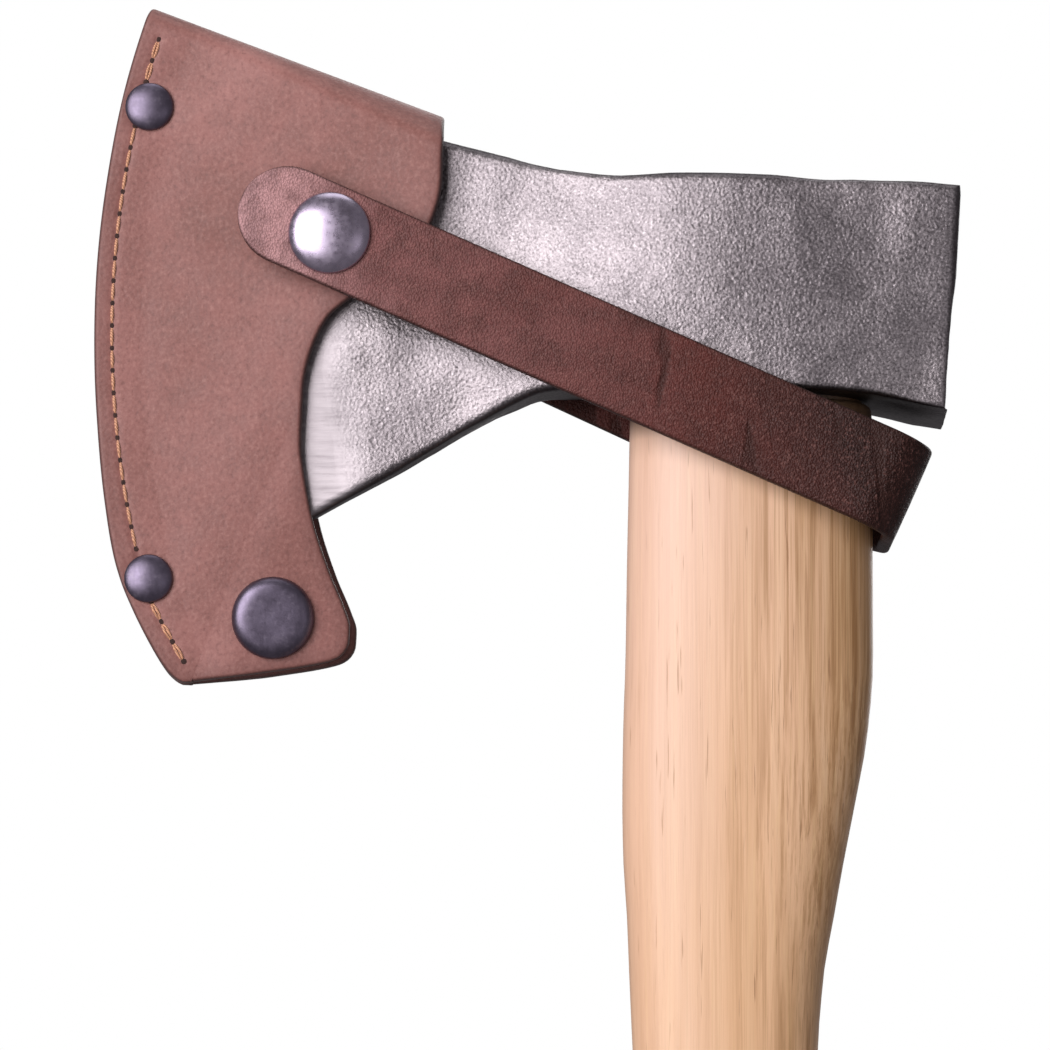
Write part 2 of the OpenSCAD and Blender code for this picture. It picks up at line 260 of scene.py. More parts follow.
def border_steps(length, step, fine=(0, 0.1, 0.28, 0.55, 0.95, 1.5), low=True, high=True):
    """Places from 0 to 1 along a length, close together near the ends where a cut edge is rounded."""
    start = list(fine) if low else [0]
    end = [length - f for f in fine][::-1] if high else [length]
    count = max(int((end[0] - start[-1]) / step), 1)
    middle = [start[-1] + (end[0] - start[-1]) * k / count for k in range(1, count)]
    return np.array(start + middle + end) / length


def edge_round(distance, radius):
    """From a small value at a cut edge up to 1 inside it: the share of full thickness."""
    x = np.clip(1 - distance / radius, 0, 1)
    return 0.3 + 0.7 * np.sqrt(1 - x * x)


# ---------------------------------------------------------------- materials

class Nodes:
    """A material's node tree, built a node at a time."""

    def __init__(self, name):
        self.material = bpy.data.materials.new(name)
        self.material.use_nodes = True
        self.tree = self.material.node_tree
        self.tree.nodes.clear()
        self.out = self.add("ShaderNodeOutputMaterial")
        self.surface = self.add("ShaderNodeBsdfPrincipled")
        self.tree.links.new(self.surface.outputs[0], self.out.inputs[0])

    def add(self, kind, **settings):
        node = self.tree.nodes.new(kind)
        for key, value in settings.items():
            setattr(node, key, value)
        return node

    def link(self, source, target):
        self.tree.links.new(source, target)

    def place(self, scale=(1, 1, 1)):
        """Object coordinates in metres, scaled."""
        coords = self.add("ShaderNodeTexCoord")
        mapping = self.add("ShaderNodeMapping")
        mapping.inputs["Scale"].default_value = scale
        self.link(coords.outputs["Object"], mapping.inputs["Vector"])
        return mapping.outputs[0]

    def split(self, vector):
        """The three parts of a vector."""
        node = self.add("ShaderNodeSeparateXYZ")
        self.link(vector, node.inputs[0])
        return node.outputs

    def noise(self, vector, scale, detail=4.0, rough=0.5, distortion=0.0):
        node = self.add("ShaderNodeTexNoise")
        self.link(vector, node.inputs["Vector"])
        node.inputs["Scale"].default_value = scale
        node.inputs["Detail"].default_value = detail
        node.inputs["Roughness"].default_value = rough
        node.inputs["Distortion"].default_value = distortion
        return node.outputs[0]

    def cells(self, vector, scale, feature="F1"):
        node = self.add("ShaderNodeTexVoronoi", feature=feature)
        self.link(vector, node.inputs["Vector"])
        node.inputs["Scale"].default_value = scale
        return node.outputs["Distance"]

    def ramp(self, source, *stops, smooth=False):
        node = self.add("ShaderNodeValToRGB")
        ramp = node.color_ramp
        if smooth:
            ramp.interpolation = "EASE"
        for place, colour in stops[1:-1]:
            ramp.elements.new(place)
        for element, (place, colour) in zip(ramp.elements, stops):
            element.position = place
            element.color = (*colour, 1) if not isinstance(colour, (int, float)) else (colour,) * 3 + (1,)
        self.link(source, node.inputs[0])
        return node.outputs[0]

    def set(self, socket, value):
        """Gives a socket a number, a colour or another node's output."""
        if isinstance(value, (int, float)):
            socket.default_value = value
        elif isinstance(value, tuple):
            socket.default_value = (*value, 1)
        else:
            self.link(value, socket)

    def math(self, operation, *values, clamp=False):
        node = self.add("ShaderNodeMath", operation=operation, use_clamp=clamp)
        for socket, value in zip(node.inputs, values):
            self.set(socket, value)
        return node.outputs[0]

    def mix(self, factor, a, b, blend="MIX"):
        node = self.add("ShaderNodeMix", data_type="RGBA", blend_type=blend)
        for socket, value in zip((node.inputs[0], node.inputs[6], node.inputs[7]), (factor, a, b)):
            self.set(socket, value)
        return node.outputs[2]

    def tint(self, under, source, start, end, colour, share=None):
        """Mixes a colour in where a source passes from one (place, factor) to another."""
        factor = self.ramp(source, start, end)
        if share is not None:
            factor = self.math("MULTIPLY", factor, share)
        return self.mix(factor, under, colour)

    def edge_tint(self, under, reach, share, colour):
        """Mixes a colour in along the cut edges, up to this many millimetres inside them."""
        border = self.add("ShaderNodeAttribute", attribute_name="border")
        inside = self.math("DIVIDE", border.outputs["Fac"], reach)
        edge = self.ramp(inside, (0.0, 1.0), (1.0, 0.0), smooth=True)
        return self.mix(self.math("MULTIPLY", edge, share), under, colour)

    def total(self, *terms):
        """The sum of sources, each with its factor."""
        scaled = [self.math("MULTIPLY", source, factor) for source, factor in terms]
        result = scaled[0]
        for term in scaled[1:]:
            result = self.math("ADD", result, term)
        return result

    def bump(self, height, strength, distance):
        node = self.add("ShaderNodeBump")
        node.inputs["Strength"].default_value = strength
        node.inputs["Distance"].default_value = distance
        self.link(height, node.inputs["Height"])
        return node.outputs[0]

    def finish(self, colour, roughness, normal=None, **constants):
        self.set(self.surface.inputs["Base Color"], colour)
        self.set(self.surface.inputs["Roughness"], roughness)
        if normal is not None:
            self.link(normal, self.surface.inputs["Normal"])
        for key, value in constants.items():
            self.surface.inputs[key.replace("_", " ")].default_value = value
        return self.material


def edge_distance(n):
    """Distance from the centre of the cutting edge's arc, in metres, across the blade's plane."""
    coords = n.add("ShaderNodeTexCoord")
    x, _, z = n.split(coords.outputs["Object"])
    dx = n.math("SUBTRACT", x, float(ARC[0] * MM))
    dz = n.math("SUBTRACT", z, float((ARC[1] + head_z) * MM))
    return n.math("SQRT", n.math("ADD", n.math("MULTIPLY", dx, dx), n.math("MULTIPLY", dz, dz)))


def forged_steel():
    n = Nodes("forged_steel")
    place = n.place()
    coarse = n.noise(place, 90, 3, 0.55)
    pebble = n.cells(place, 1500, "SMOOTH_F1")
    grit = n.noise(place, 1900, 3, 0.65)
    patches = n.noise(place, 34, 4, 0.6, 0.4)
    colour = n.ramp(patches, (0.3, (0.185, 0.168, 0.178)), (0.5, (0.25, 0.228, 0.24)),
                    (0.7, (0.33, 0.302, 0.315)))
    colour = n.tint(colour, grit, (0.36, 0.7), (0.5, 0.0), (0.09, 0.08, 0.085))
    colour = n.tint(colour, grit, (0.55, 0.0), (0.72, 0.5), (0.72, 0.67, 0.69))
    reach = n.math("ADD", edge_distance(n), n.math("MULTIPLY", coarse, 0.004))
    ground = n.ramp(reach, (0.1545, 0.0), (0.1575, 1.0))
    lines = n.noise(n.place((60, 900, 1100)), 1, 3, 0.6)
    bright = n.ramp(lines, (0.3, (0.29, 0.265, 0.28)), (0.7, (0.49, 0.455, 0.475)))
    colour = n.mix(ground, colour, bright)
    colour = n.edge_tint(colour, 1.5, 0.78, (0.05, 0.043, 0.048))
    # The faces that look down are darkened by their normal: partly forge scale, partly painted shade under the
    # head.
    normal = n.split(n.add("ShaderNodeTexCoord").outputs["Normal"])
    downward_scale_and_shade = n.math("MULTIPLY_ADD", normal[2], -0.5, 0.5)
    colour = n.tint(colour, downward_scale_and_shade, (0.72, 0.0), (0.93, 0.85), (0.03, 0.026, 0.029))
    rough = n.mix(ground, n.ramp(grit, (0.3, 0.36), (0.7, 0.46)), n.ramp(lines, (0.3, 0.34), (0.7, 0.48)))
    forged = n.total((grit, 0.6), (coarse, 1.2), (pebble, 0.7))
    height = n.mix(ground, forged, n.math("MULTIPLY", lines, 0.3))
    return n.finish(colour, rough, n.bump(height, 0.6, 0.00022), Metallic=1.0)


def hickory():
    """Paler and plainer at the front of the handle, browner and more striped at the back."""
    n = Nodes("hickory")
    place = n.place()
    slow = n.noise(n.place((1, 1, 0.12)), 38, 3, 0.5, 0.8)
    streaks = n.noise(n.place((1, 1, 0.02)), 520, 5, 0.66, 0.4)
    bands = n.noise(n.place((1, 1, 0.03)), 170, 3, 0.6, 0.6)
    fine = n.noise(n.place((1, 1, 0.009)), 1300, 4, 0.7, 0.2)
    fibres = n.noise(n.place((1, 1, 0.014)), 2400, 3, 0.6)
    pores = n.noise(n.place((1, 1, 0.045)), 1500, 2, 0.5)
    x, _, z = n.split(place)
    across = n.math("MULTIPLY_ADD", x, 15.0, 0.44)
    across = n.math("ADD", across, n.math("MULTIPLY", n.math("SUBTRACT", slow, 0.5), 0.7))
    heart = n.ramp(across, (0.25, 0.12), (0.85, 1.0), smooth=True)
    colour = n.ramp(across, (0.15, (0.80, 0.53, 0.395)), (0.5, (0.87, 0.565, 0.375)),
                    (0.85, (0.60, 0.352, 0.165)), smooth=True)
    colour = n.tint(colour, bands, (0.4, 0.55), (0.56, 0.0), (0.46, 0.245, 0.095), heart)
    colour = n.tint(colour, streaks, (0.36, 0.85), (0.5, 0.0), (0.33, 0.16, 0.055), heart)
    colour = n.tint(colour, streaks, (0.5, 0.0), (0.7, 0.5), (0.90, 0.64, 0.44), 0.8)
    colour = n.tint(colour, fine, (0.36, 0.75), (0.47, 0.0), (0.40, 0.215, 0.085), heart)
    colour = n.tint(colour, fine, (0.54, 0.0), (0.64, 0.6), (0.86, 0.60, 0.34), heart)
    dash = n.ramp(pores, (0.25, 1.0), (0.34, 0.0))
    colour = n.mix(n.math("MULTIPLY", dash, 0.55), colour, (0.34, 0.17, 0.08))
    colour = n.tint(colour, fibres, (0.3, 0.16), (0.5, 0.0), (0.45, 0.26, 0.14))
    # Where the wood enters the eye it is darkened: painted shadow under the head, with some oil and dirt. It is
    # yellower further down.
    height_up = n.math("MULTIPLY_ADD", z, 1 / 0.07, float(0.143 - head_z * MM / 0.07))
    oil_and_painted_shadow = n.ramp(height_up, (0.10, 0.0), (0.165, 0.85), (0.6, 0.85), (0.7, 0.0))
    colour = n.mix(oil_and_painted_shadow, colour, (0.05, 0.028, 0.018))
    below = n.math("MULTIPLY_ADD", z, -10.0, float(head_z * MM * 10 - 0.2), clamp=True)
    colour = n.mix(below, colour, (0.97, 0.93, 0.80), blend="MULTIPLY")
    rough = n.ramp(fibres, (0.3, 0.36), (0.7, 0.5))
    height = n.total((fibres, 0.6), (dash, -0.6))
    return n.finish(colour, rough, n.bump(height, 0.35, 0.00022), Coat_Weight=0.15, Coat_Roughness=0.25)


def end_grain():
    n = Nodes("wedge_wood")
    rings = n.noise(n.place((1, 5, 1)), 260, 3, 0.55, 0.8)
    pores = n.cells(n.place(), 1900)
    colour = n.ramp(rings, (0.3, (0.34, 0.19, 0.09)), (0.7, (0.56, 0.36, 0.19)))
    return n.finish(colour, 0.62, n.bump(n.math("ADD", pores, rings), 0.4, 0.0002))


def sheath_leather():
    n = Nodes("sheath_leather")
    place = n.place()
    cloud = n.noise(place, 22, 4, 0.55, 0.6)
    mottle = n.noise(place, 160, 4, 0.6)
    fine = n.noise(place, 1100, 3, 0.65)
    grain = n.cells(place, 1300, "SMOOTH_F1")
    colour = n.ramp(cloud, (0.3, (0.205, 0.076, 0.060)), (0.5, (0.28, 0.114, 0.098)),
                    (0.7, (0.36, 0.160, 0.142)))
    colour = n.tint(colour, mottle, (0.36, 0.35), (0.62, 0.0), (0.165, 0.06, 0.048))
    colour = n.tint(colour, fine, (0.5, 0.0), (0.72, 0.35), (0.46, 0.235, 0.20))
    colour = n.tint(colour, fine, (0.3, 0.45), (0.46, 0.0), (0.13, 0.048, 0.04))
    colour = n.edge_tint(colour, 4.5, 0.38, (0.12, 0.042, 0.034))
    colour = n.edge_tint(colour, 0.75, 0.86, (0.045, 0.018, 0.016))
    rough = n.ramp(mottle, (0.3, 0.50), (0.7, 0.62))
    height = n.total((fine, 0.6), (mottle, 1.0), (grain, 0.6))
    return n.finish(colour, rough, n.bump(height, 0.4, 0.00025), Sheen_Weight=0.1, Sheen_Roughness=0.5)


def strap_leather():
    """Pale at the tip, and darkened towards the bend behind the handle with painted shade."""
    n = Nodes("strap_leather")
    place = n.place()
    cloud = n.noise(place, 26, 4, 0.55, 0.6)
    mottle = n.noise(place, 190, 4, 0.6)
    grain = n.cells(n.place((1.25, 1, 1)), 1900)
    fine = n.noise(place, 1500, 3, 0.65)
    creases = n.noise(n.place((62, 20, 15)), 1, 3, 0.55, 1.2)
    crease_with_painted_shade = n.ramp(creases, (0.36, 1.0), (0.44, 0.0), smooth=True)
    along = n.math("MULTIPLY_ADD", n.split(place)[0], 1 / 0.138, 0.80)
    tip_to_bend_shade = n.math("ADD", along, n.math("MULTIPLY", n.math("SUBTRACT", cloud, 0.5), 0.35))
    # Painted shade: the colour darkens along the strap to near black at the bend behind the handle.
    colour = n.ramp(tip_to_bend_shade, (0.0, (0.62, 0.36, 0.37)), (0.16, (0.54, 0.29, 0.29)), (0.3, (0.24, 0.097, 0.092)),
                    (0.70, (0.112, 0.026, 0.020)), (0.95, (0.014, 0.0032, 0.0018)))
    colour = n.tint(colour, mottle, (0.36, 0.45), (0.6, 0.0), (0.045, 0.016, 0.013))
    colour = n.tint(colour, grain, (0.2, 0.0), (0.65, 0.34), (0.045, 0.014, 0.011))
    colour = n.tint(colour, fine, (0.52, 0.0), (0.72, 0.3), (0.38, 0.18, 0.155))
    # Painted shade: the creases are darkened in colour as well as pressed in by the bump.
    colour = n.mix(n.math("MULTIPLY", crease_with_painted_shade, 0.72), colour, (0.035, 0.012, 0.009))
    colour = n.edge_tint(colour, 0.7, 0.85, (0.03, 0.012, 0.01))
    rough = n.ramp(mottle, (0.3, 0.42), (0.7, 0.55))
    height = n.total((grain, -1.0), (fine, 0.45), (crease_with_painted_shade, -1.3))
    return n.finish(colour, rough, n.bump(height, 0.75, 0.00034), Specular_IOR_Level=0.22)


def welt_leather():
    n = Nodes("welt_leather")
    layers = n.noise(n.place((1, 9, 1)), 240, 3, 0.6)
    colour = n.ramp(layers, (0.3, (0.055, 0.024, 0.018)), (0.7, (0.15, 0.07, 0.05)))
    return n.finish(colour, 0.45, n.bump(layers, 0.4, 0.0002))


def waxed_thread():
    n = Nodes("waxed_thread")
    strands = n.add("ShaderNodeTexWave", wave_type="BANDS", bands_direction="DIAGONAL")
    n.link(n.place(), strands.inputs["Vector"])
    strands.inputs["Scale"].default_value = 900
    strands.inputs["Distortion"].default_value = 1.5
    colour = n.ramp(strands.outputs[0], (0.0, (0.38, 0.175, 0.095)), (1.0, (0.74, 0.38, 0.22)))
    return n.finish(colour, 0.5, n.bump(strands.outputs[0], 0.6, 0.0001), Sheen_Weight=0.2)


# Painted shade: near-black discs stand in for the shade inside the stitch holes.
def painted_hole_shade():
    n = Nodes("painted_hole_shade")
    colour = n.ramp(n.noise(n.place(), 2500, 2), (0.3, (0.02, 0.008, 0.006)), (0.7, (0.05, 0.02, 0.015)))
    return n.finish(colour, 0.85)


def cap_metal(name, dark, light, worn, worn_share, rough, depth, scratches=0.0):
    """Burnished metal with clouds, worn specks of a lighter colour, and a share of scratches in its roughness."""
    n = Nodes(name)
    place = n.place()
    cloud = n.noise(place, 210, 4, 0.6)
    grime = n.noise(place, 800, 4, 0.65)
    colour = n.ramp(cloud, (0.32, dark), (0.68, light))
    colour = n.tint(colour, grime, (0.55, 0.0), (0.72, worn_share), worn)
    wear = grime
    if scratches:
        wear = n.total((grime, 1 - scratches), (n.noise(n.place((2400, 2400, 300)), 1, 2, 0.5), scratches))
    rough = n.ramp(wear, (0.35, rough[0]), (0.65, rough[1]))
    return n.finish(colour, rough, n.bump(grime, depth, 0.0001), Metallic=1.0)


def gunmetal():
    return cap_metal("gunmetal", (0.11, 0.094, 0.132), (0.18, 0.156, 0.215), (0.28, 0.25, 0.30), 0.3,
                     (0.33, 0.47), 0.08, scratches=0.3)


def painted_light_cap():
    """The strap's snap cap is a brighter copy of the other caps' metal: painted light, where this cap catches the
    key lamp.
    """
    return cap_metal("painted_light_cap", (0.31, 0.27, 0.35), (0.48, 0.42, 0.54), (0.55, 0.50, 0.58), 0.35,
                     (0.24, 0.34), 0.06)


def bright_wire():
    n = Nodes("bright_wire")
    lines = n.noise(n.place((3000, 3000, 3000)), 1, 2)
    return n.finish(n.ramp(lines, (0.3, (0.42, 0.42, 0.43)), (0.7, (0.62, 0.62, 0.63))), 0.28, Metallic=1.0)


MATERIALS = {
    "forged_steel": forged_steel(), "hickory": hickory(), "wedge_wood": end_grain(),
    "sheath_hide": sheath_leather(), "strap_hide": strap_leather(), "welt_leather": welt_leather(),
    "waxed_thread": waxed_thread(), "painted_hole_shade": painted_hole_shade(), "gunmetal": gunmetal(),
    "painted_light_cap": painted_light_cap(), "spring_wire": bright_wire(), "wedge_steel": bright_wire(),
}


def dress(obj, slot, body, *nodes, material=None):
    """Gives a piece its material and its body, and hides the CAD nodes that it stands for."""
    obj.data.materials.clear()
    obj.data.materials.append(MATERIALS[material or slot])
    if body is not None:
        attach(obj, body)
    if nodes:
        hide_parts(*nodes)
    return obj


# ---------------------------------------------------------------- head

# The head's upper and lower boundaries (x, height), and its half thickness by reach from the arc's centre
HEAD_TOP = [(-124, 77.6), (-100, 70.4), (-80, 64.5), (-62.3, 59.2), (-52.2, 56.5), (-37.7, 53.1),
            (-26, 51.7), (-8, 51.3), (6, 50.7), (23.5, 50.2), (34, 49.6), (42.85, 48.9)]
HEAD_UNDER = [(-124, -37.8), (-110, -29.8), (-95, -21.3), (-80, -12.8), (-66, -4.8), (-56, 0.9), (-49, 4.7),
              (-43, 6.9), (-36, 7.3), (-20, 6.9), (0, 6.5), (14, 6.0), (22, 5.5), (28, 4.4), (34, 2.9),
              (40.05, 1.7)]
HEAD_HALF = [(20, 15.0), (45, 15.9), (62, 16.45), (76, 16.2), (88, 15.2), (98, 13.4), (110, 10.3),
             (122, 7.5), (135, 5.35), (150, 4.05), (172, 2.55), (187.6, 1.55), (195.5, 0.75), (197.6, 0.22)]
HEAD_LEN = 168
# The eye is a squarish oval: half its length and width, and how square it is.
EYE = (23, 10.5)
EYE_POWER = 2.5


def smooth_curve(table, x):
    """A smooth curve through the points of a table, without overshoot (monotone cubic)."""
    xs, ys = np.array(table, float).T
    h = np.diff(xs)
    d = np.diff(ys) / h
    m = np.zeros(len(xs))
    product, total = d[:-1] * d[1:], d[:-1] + d[1:]
    m[1:-1] = np.where(product > 0, 2 * product / np.where(total == 0, 1, total), 0)
    m[0], m[-1] = d[0], d[-1]
    x = np.clip(x, xs[0], xs[-1])
    k = np.clip(np.searchsorted(xs, x) - 1, 0, len(h) - 1)
    t = (x - xs[k]) / h[k]
    return ((2 * t**3 - 3 * t**2 + 1) * ys[k] + (t**3 - 2 * t**2 + t) * h[k] * m[k]
            + (-2 * t**3 + 3 * t**2) * ys[k + 1] + (t**3 - t**2) * h[k] * m[k + 1])


def arc_end(table):
    """Where a boundary of the head meets the cutting edge's arc."""
    x = np.linspace(-124, -110, 600)
    z = smooth_curve(table, x)
    k = np.argmin(np.abs(np.hypot(x - ARC[0], z - ARC[1]) - EDGE_R))
    return np.array([x[k], z[k]])


def head_points():
    """The head's front half: its side view filled by a grid, with a half thickness at each point."""
    toe, heel = arc_end(HEAD_TOP), arc_end(HEAD_UNDER)
    u = 1 - border_steps(HEAD_LEN, 1.5, high=False)[::-1]
    v = border_steps(60, 0.9)
    start = math.atan2(heel[1] - ARC[1], heel[0] - ARC[0]) % (2 * math.pi)
    end = math.atan2(toe[1] - ARC[1], toe[0] - ARC[0]) % (2 * math.pi)
    edge_angle = start + (end - start) * v
    edge = np.stack([ARC[0] + EDGE_R * np.cos(edge_angle), ARC[1] + EDGE_R * np.sin(edge_angle)], 1)
    top_x = toe[0] + (HEAD_TOP[-1][0] - toe[0]) * u
    low_x = heel[0] + (HEAD_UNDER[-1][0] - heel[0]) * u
    top = np.stack([top_x, smooth_curve(HEAD_TOP, top_x)], 1)
    low = np.stack([low_x, smooth_curve(HEAD_UNDER, low_x)], 1)
    poll = low[-1] + (top[-1] - low[-1]) * v[:, None]
    U, V = u[:, None, None], v[None, :, None]
    grid = ((1 - U) * edge[None] + U * poll[None] + (1 - V) * low[:, None] + V * top[:, None]
            - (1 - U) * (1 - V) * edge[0] - (1 - U) * V * edge[-1]
            - U * (1 - V) * poll[0] - U * V * poll[-1])
    reach = np.hypot(grid[..., 0] - ARC[0], grid[..., 1] - ARC[1])
    half = smooth_curve(HEAD_HALF, reach)
    span = np.linalg.norm(top - low, axis=1)[:, None]
    border = np.minimum(np.minimum(v, 1 - v)[None] * span, (1 - u)[:, None] * HEAD_LEN)
    radius = np.minimum(1.5, half * 0.7)
    x = np.clip(1 - border / radius, 0, 1)
    half = half - radius * (1 - np.sqrt(1 - x * x))
    half[0] = HEAD_HALF[-1][1]
    return grid, half


def make_head():
    grid, half = head_points()
    share = np.linspace(-1, 1, 13)
    front = np.stack([grid[..., 0], -half, grid[..., 1] + head_z], 2)
    sheets = [front, front * (1, -1, 1)]
    for side in (np.s_[:, 0], np.s_[:, -1], 0, -1):
        row, thick = grid[side], half[side]
        x, z = [np.repeat(row[:, k:k + 1], len(share), 1) for k in (0, 1)]
        sheets.append(np.stack([x, thick[:, None] * share, z + head_z], 2))
    head = new_object("head_forging", *joined(
        [(sheet.reshape(-1, 3), grid_faces(*sheet.shape[:2])) for sheet in sheets]))
    cut_eye(head)
    hammer(head)
    return dress(head, "forged_steel", "axe", "head")


def oval(half_x, half_y, power, z, middle=0.0, count=72):
    """A ring of points round a squarish oval at a height."""
    t = np.arange(count) * 2 * math.pi / count
    x = half_x * np.sign(np.cos(t)) * np.abs(np.cos(t)) ** (2 / power) + middle
    y = half_y * np.sign(np.sin(t)) * np.abs(np.sin(t)) ** (2 / power)
    return np.stack([x, y, np.full(count, z + head_z)], 1)


def eye_ring(clear, z):
    return oval(EYE[0] - clear, EYE[1] - clear, EYE_POWER, z)


def cut_eye(head):
    cutter = new_object("eye_cutter", *closed_rings([eye_ring(0, -5), eye_ring(0, 60)]))
    boolean = head.modifiers.new("eye", "BOOLEAN")
    boolean.object = cutter
    boolean.solver = "EXACT"
    apply_modifiers(head)
    bpy.data.objects.remove(cutter)


def apply_modifiers(obj):
    bpy.context.view_layer.update()
    evaluated = obj.evaluated_get(bpy.context.evaluated_depsgraph_get())
    mesh = bpy.data.meshes.new_from_object(evaluated)
    obj.modifiers.clear()
    obj.data = mesh
    mesh.polygons.foreach_set("use_smooth", [True] * len(mesh.polygons))


def hammer(head):
    """Low dents and waves of a forging, fading out towards the ground bevel and the eye."""
    mesh = head.data
    count = len(mesh.vertices)
    co = np.empty(count * 3)
    mesh.vertices.foreach_get("co", co)
    co = co.reshape(-1, 3) / MM
    normals = np.array([v.normal for v in mesh.vertices])
    dents = smooth_noise(co, 24, 1) * 0.8 + smooth_noise(co, 9, 2) * 0.3 + smooth_noise(co, 3.2, 3) * 0.09
    reach = np.hypot(co[:, 0] - ARC[0], co[:, 2] - head_z - ARC[1])
    fade = np.clip((158 - reach) / 12, 0, 1)
    eye = np.abs(co[:, 0] / EYE[0]) ** EYE_POWER + np.abs(co[:, 1] / EYE[1]) ** EYE_POWER
    fade *= np.clip((eye - 1.02) * 4, 0, 1)
    co += normals * (np.minimum(dents, 0.3) * fade)[:, None]
    mesh.vertices.foreach_set("co", (co * MM).ravel())
    x, z = co[:, 0], co[:, 2] - head_z
    border = np.minimum(smooth_curve(HEAD_TOP, x) - z, (z - smooth_curve(HEAD_UNDER, x)) * 0.9)
    # The poll's face leans a little.
    border = np.minimum(border, 42.8 - (48.9 - z) * 0.0587 - x)
    set_border(mesh, np.maximum(border, 0))
    mesh.update()
    mesh.set_sharp_from_angle(angle=math.radians(50))


# ---------------------------------------------------------------- handle

# Height, left edge, right edge and half thickness
HANDLE = [(3.2, -25.2, 25, 12.8), (-12, -25.5, 25.1, 13.2), (-30, -25.9, 25.1, 13.3),
          (-48, -26.2, 25.1, 13.3), (-63, -26.7, 23.9, 13.2), (-79, -26.9, 21, 13),
          (-90, -26.7, 18.8, 12.8), (-101, -26, 16.8, 12.6), (-114, -25.5, 14.5, 12.5),
          (-132, -24.7, 13.2, 12.4), (-170, -22.4, 13, 12.2), (-220, -19.4, 14.2, 12),
          (-290, -15.4, 17.4, 11.8), (-370, -12.2, 20.4, 11.7), (-450, -12.4, 20.2, 11.7),
          (-500, -14.6, 18, 11.9), (-535, -17.2, 15.4, 12), (-570, -20.6, 12.8, 12.3),
          (-600, -25, 11.2, 12.9), (-622, -29.6, 10.4, 13.8), (-636, -31.4, 9.2, 13.9)]
HANDLE_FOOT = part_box("handle")[0][2] / MM - head_z


def handle_ring(z, left, right, half):
    return oval((right - left) / 2, half, 2.4, z, (left + right) / 2)


def make_handle():
    table = np.array(HANDLE[::-1], float)
    top = TONGUE_TOP - 0.35
    rings = [eye_ring(0.5, top)] + [eye_ring(0.1, top - 0.4 - 9.0 * k) for k in range(6)]
    rings += [handle_ring(4.9, -23.2, 23.2, 11.4), handle_ring(4.8, -23.8, 23.8, 12.0),
              handle_ring(4.2, -24.7, 24.6, 12.5)]
    foot = HANDLE[-1]
    for z in [HANDLE[0][0] - 5.5 * k for k in range(24)] + list(np.linspace(-130, foot[0], 72)):
        edges = [smooth_curve(list(zip(table[:, 0], table[:, k])), np.array([z]))[0] for k in (1, 2, 3)]
        rings.append(handle_ring(z, *edges))
    for drop in np.linspace(0.25, 1, 7):
        inset = 1 - math.sqrt(max(0.0, 1 - drop * drop))
        z = foot[0] + (HANDLE_FOOT - foot[0]) * drop
        rings.append(handle_ring(z, foot[1] + 6.5 * inset, foot[2] - 6 * inset, foot[3] - 5 * inset))
    handle = new_object("hickory_handle", *closed_rings(rings))
    handle.data.set_sharp_from_angle(angle=math.radians(50))
    return dress(handle, "hickory", "axe", "handle")


# ---------------------------------------------------------------- sheath

# Reaches from the arc's centre, by angle
MOUTH = [(161.0, 140.4), (161.4, 140.2), (164.3, 138.1), (167.9, 136.6), (170.9, 137.5), (174.7, 143.9),
         (177.9, 153.7), (178.9, 156.7), (180.4, 159.1), (182.0, 160.9), (183.6, 162.2), (185.5, 163.1),
         (188.5, 164.3), (205, 164.3)]
SEAM_EDGE = [(155, 205.9), (165, 206.0), (172, 205.7), (179, 205.7), (185, 205.9), (190, 206.5),
             (193.3, 206.9), (194.7, 206.7), (196.4, 205.95), (198.3, 204.85), (200.35, 203.3),
             (200.9, 202.5), (201.4, 201.2), (201.65, 199.4), (202.2, 197.5)]
# The outline of a flap below the bending line (x, height)
FLAP_OUTLINE = [(-93.25, 5.2), (-93.3, -4), (-92.6, -10.5), (-91, -19.1), (-87.4, -30.3), (-84.3, -37.8),
                (-83.2, -41.5), (-83.4, -45), (-84.9, -47.6), (-87.6, -48.9), (-99.7, -51), (-112.0, -52.6),
                (-114.6, -52.9)]
BOTTOM_ANGLE = 201.6
TOP_ANGLE = 161.2
APEX_DEPTH = LEATHER / 2
FOLD_TO_FOOT = 141.0


def hinge_reach(angle):
    """Where the ray at an angle from the arc's centre meets the flaps' bending line."""
    c, s = math.cos(FLAP_TURN), math.sin(FLAP_TURN)
    a = np.radians(angle)
    rel = FLAP - ARC
    return (rel[0] * s - rel[1] * c) / (np.cos(a) * s - np.sin(a) * c)


def mouth_crossing():
    """The angle at which the mouth's edge meets the flaps' bending line."""
    angle = np.linspace(183, 187, 4001)
    return angle[np.argmin(np.abs(hinge_reach(angle) - smooth_curve(MOUTH, angle)))]


def flap_rim(start, end, count):
    """Evenly spaced points of a flap's outline between its two meetings with the sheath, and their places
    along it."""
    outline = np.array(FLAP_OUTLINE, float)
    outline[0], outline[-1] = start, end
    length = np.append(0, np.cumsum(np.linalg.norm(np.diff(outline, axis=0), axis=1)))
    place = np.linspace(0, length[-1], count)
    return place, np.stack([smooth_curve(list(zip(length, outline[:, k])), place) for k in (0, 1)], 1)


def line_distance(x, z, line):
    """Distance in the side view from each place to a line of points."""
    nearest = np.full(x.shape, 1e9)
    for (px, pz), (qx, qz) in zip(line[:-1], line[1:]):
        dx, dz = qx - px, qz - pz
        along = np.clip(((x - px) * dx + (z - pz) * dz) / max(dx * dx + dz * dz, 1e-12), 0, 1)
        nearest = np.minimum(nearest, np.hypot(x - px - along * dx, z - pz - along * dz))
    return nearest


def half_gap(r):
    """Half the distance between the two layers' middles at a distance from the arc's centre."""
    return GAP + LEATHER / 2 + GAP_SLOPE * np.maximum(GAP_START_R - r, 0)


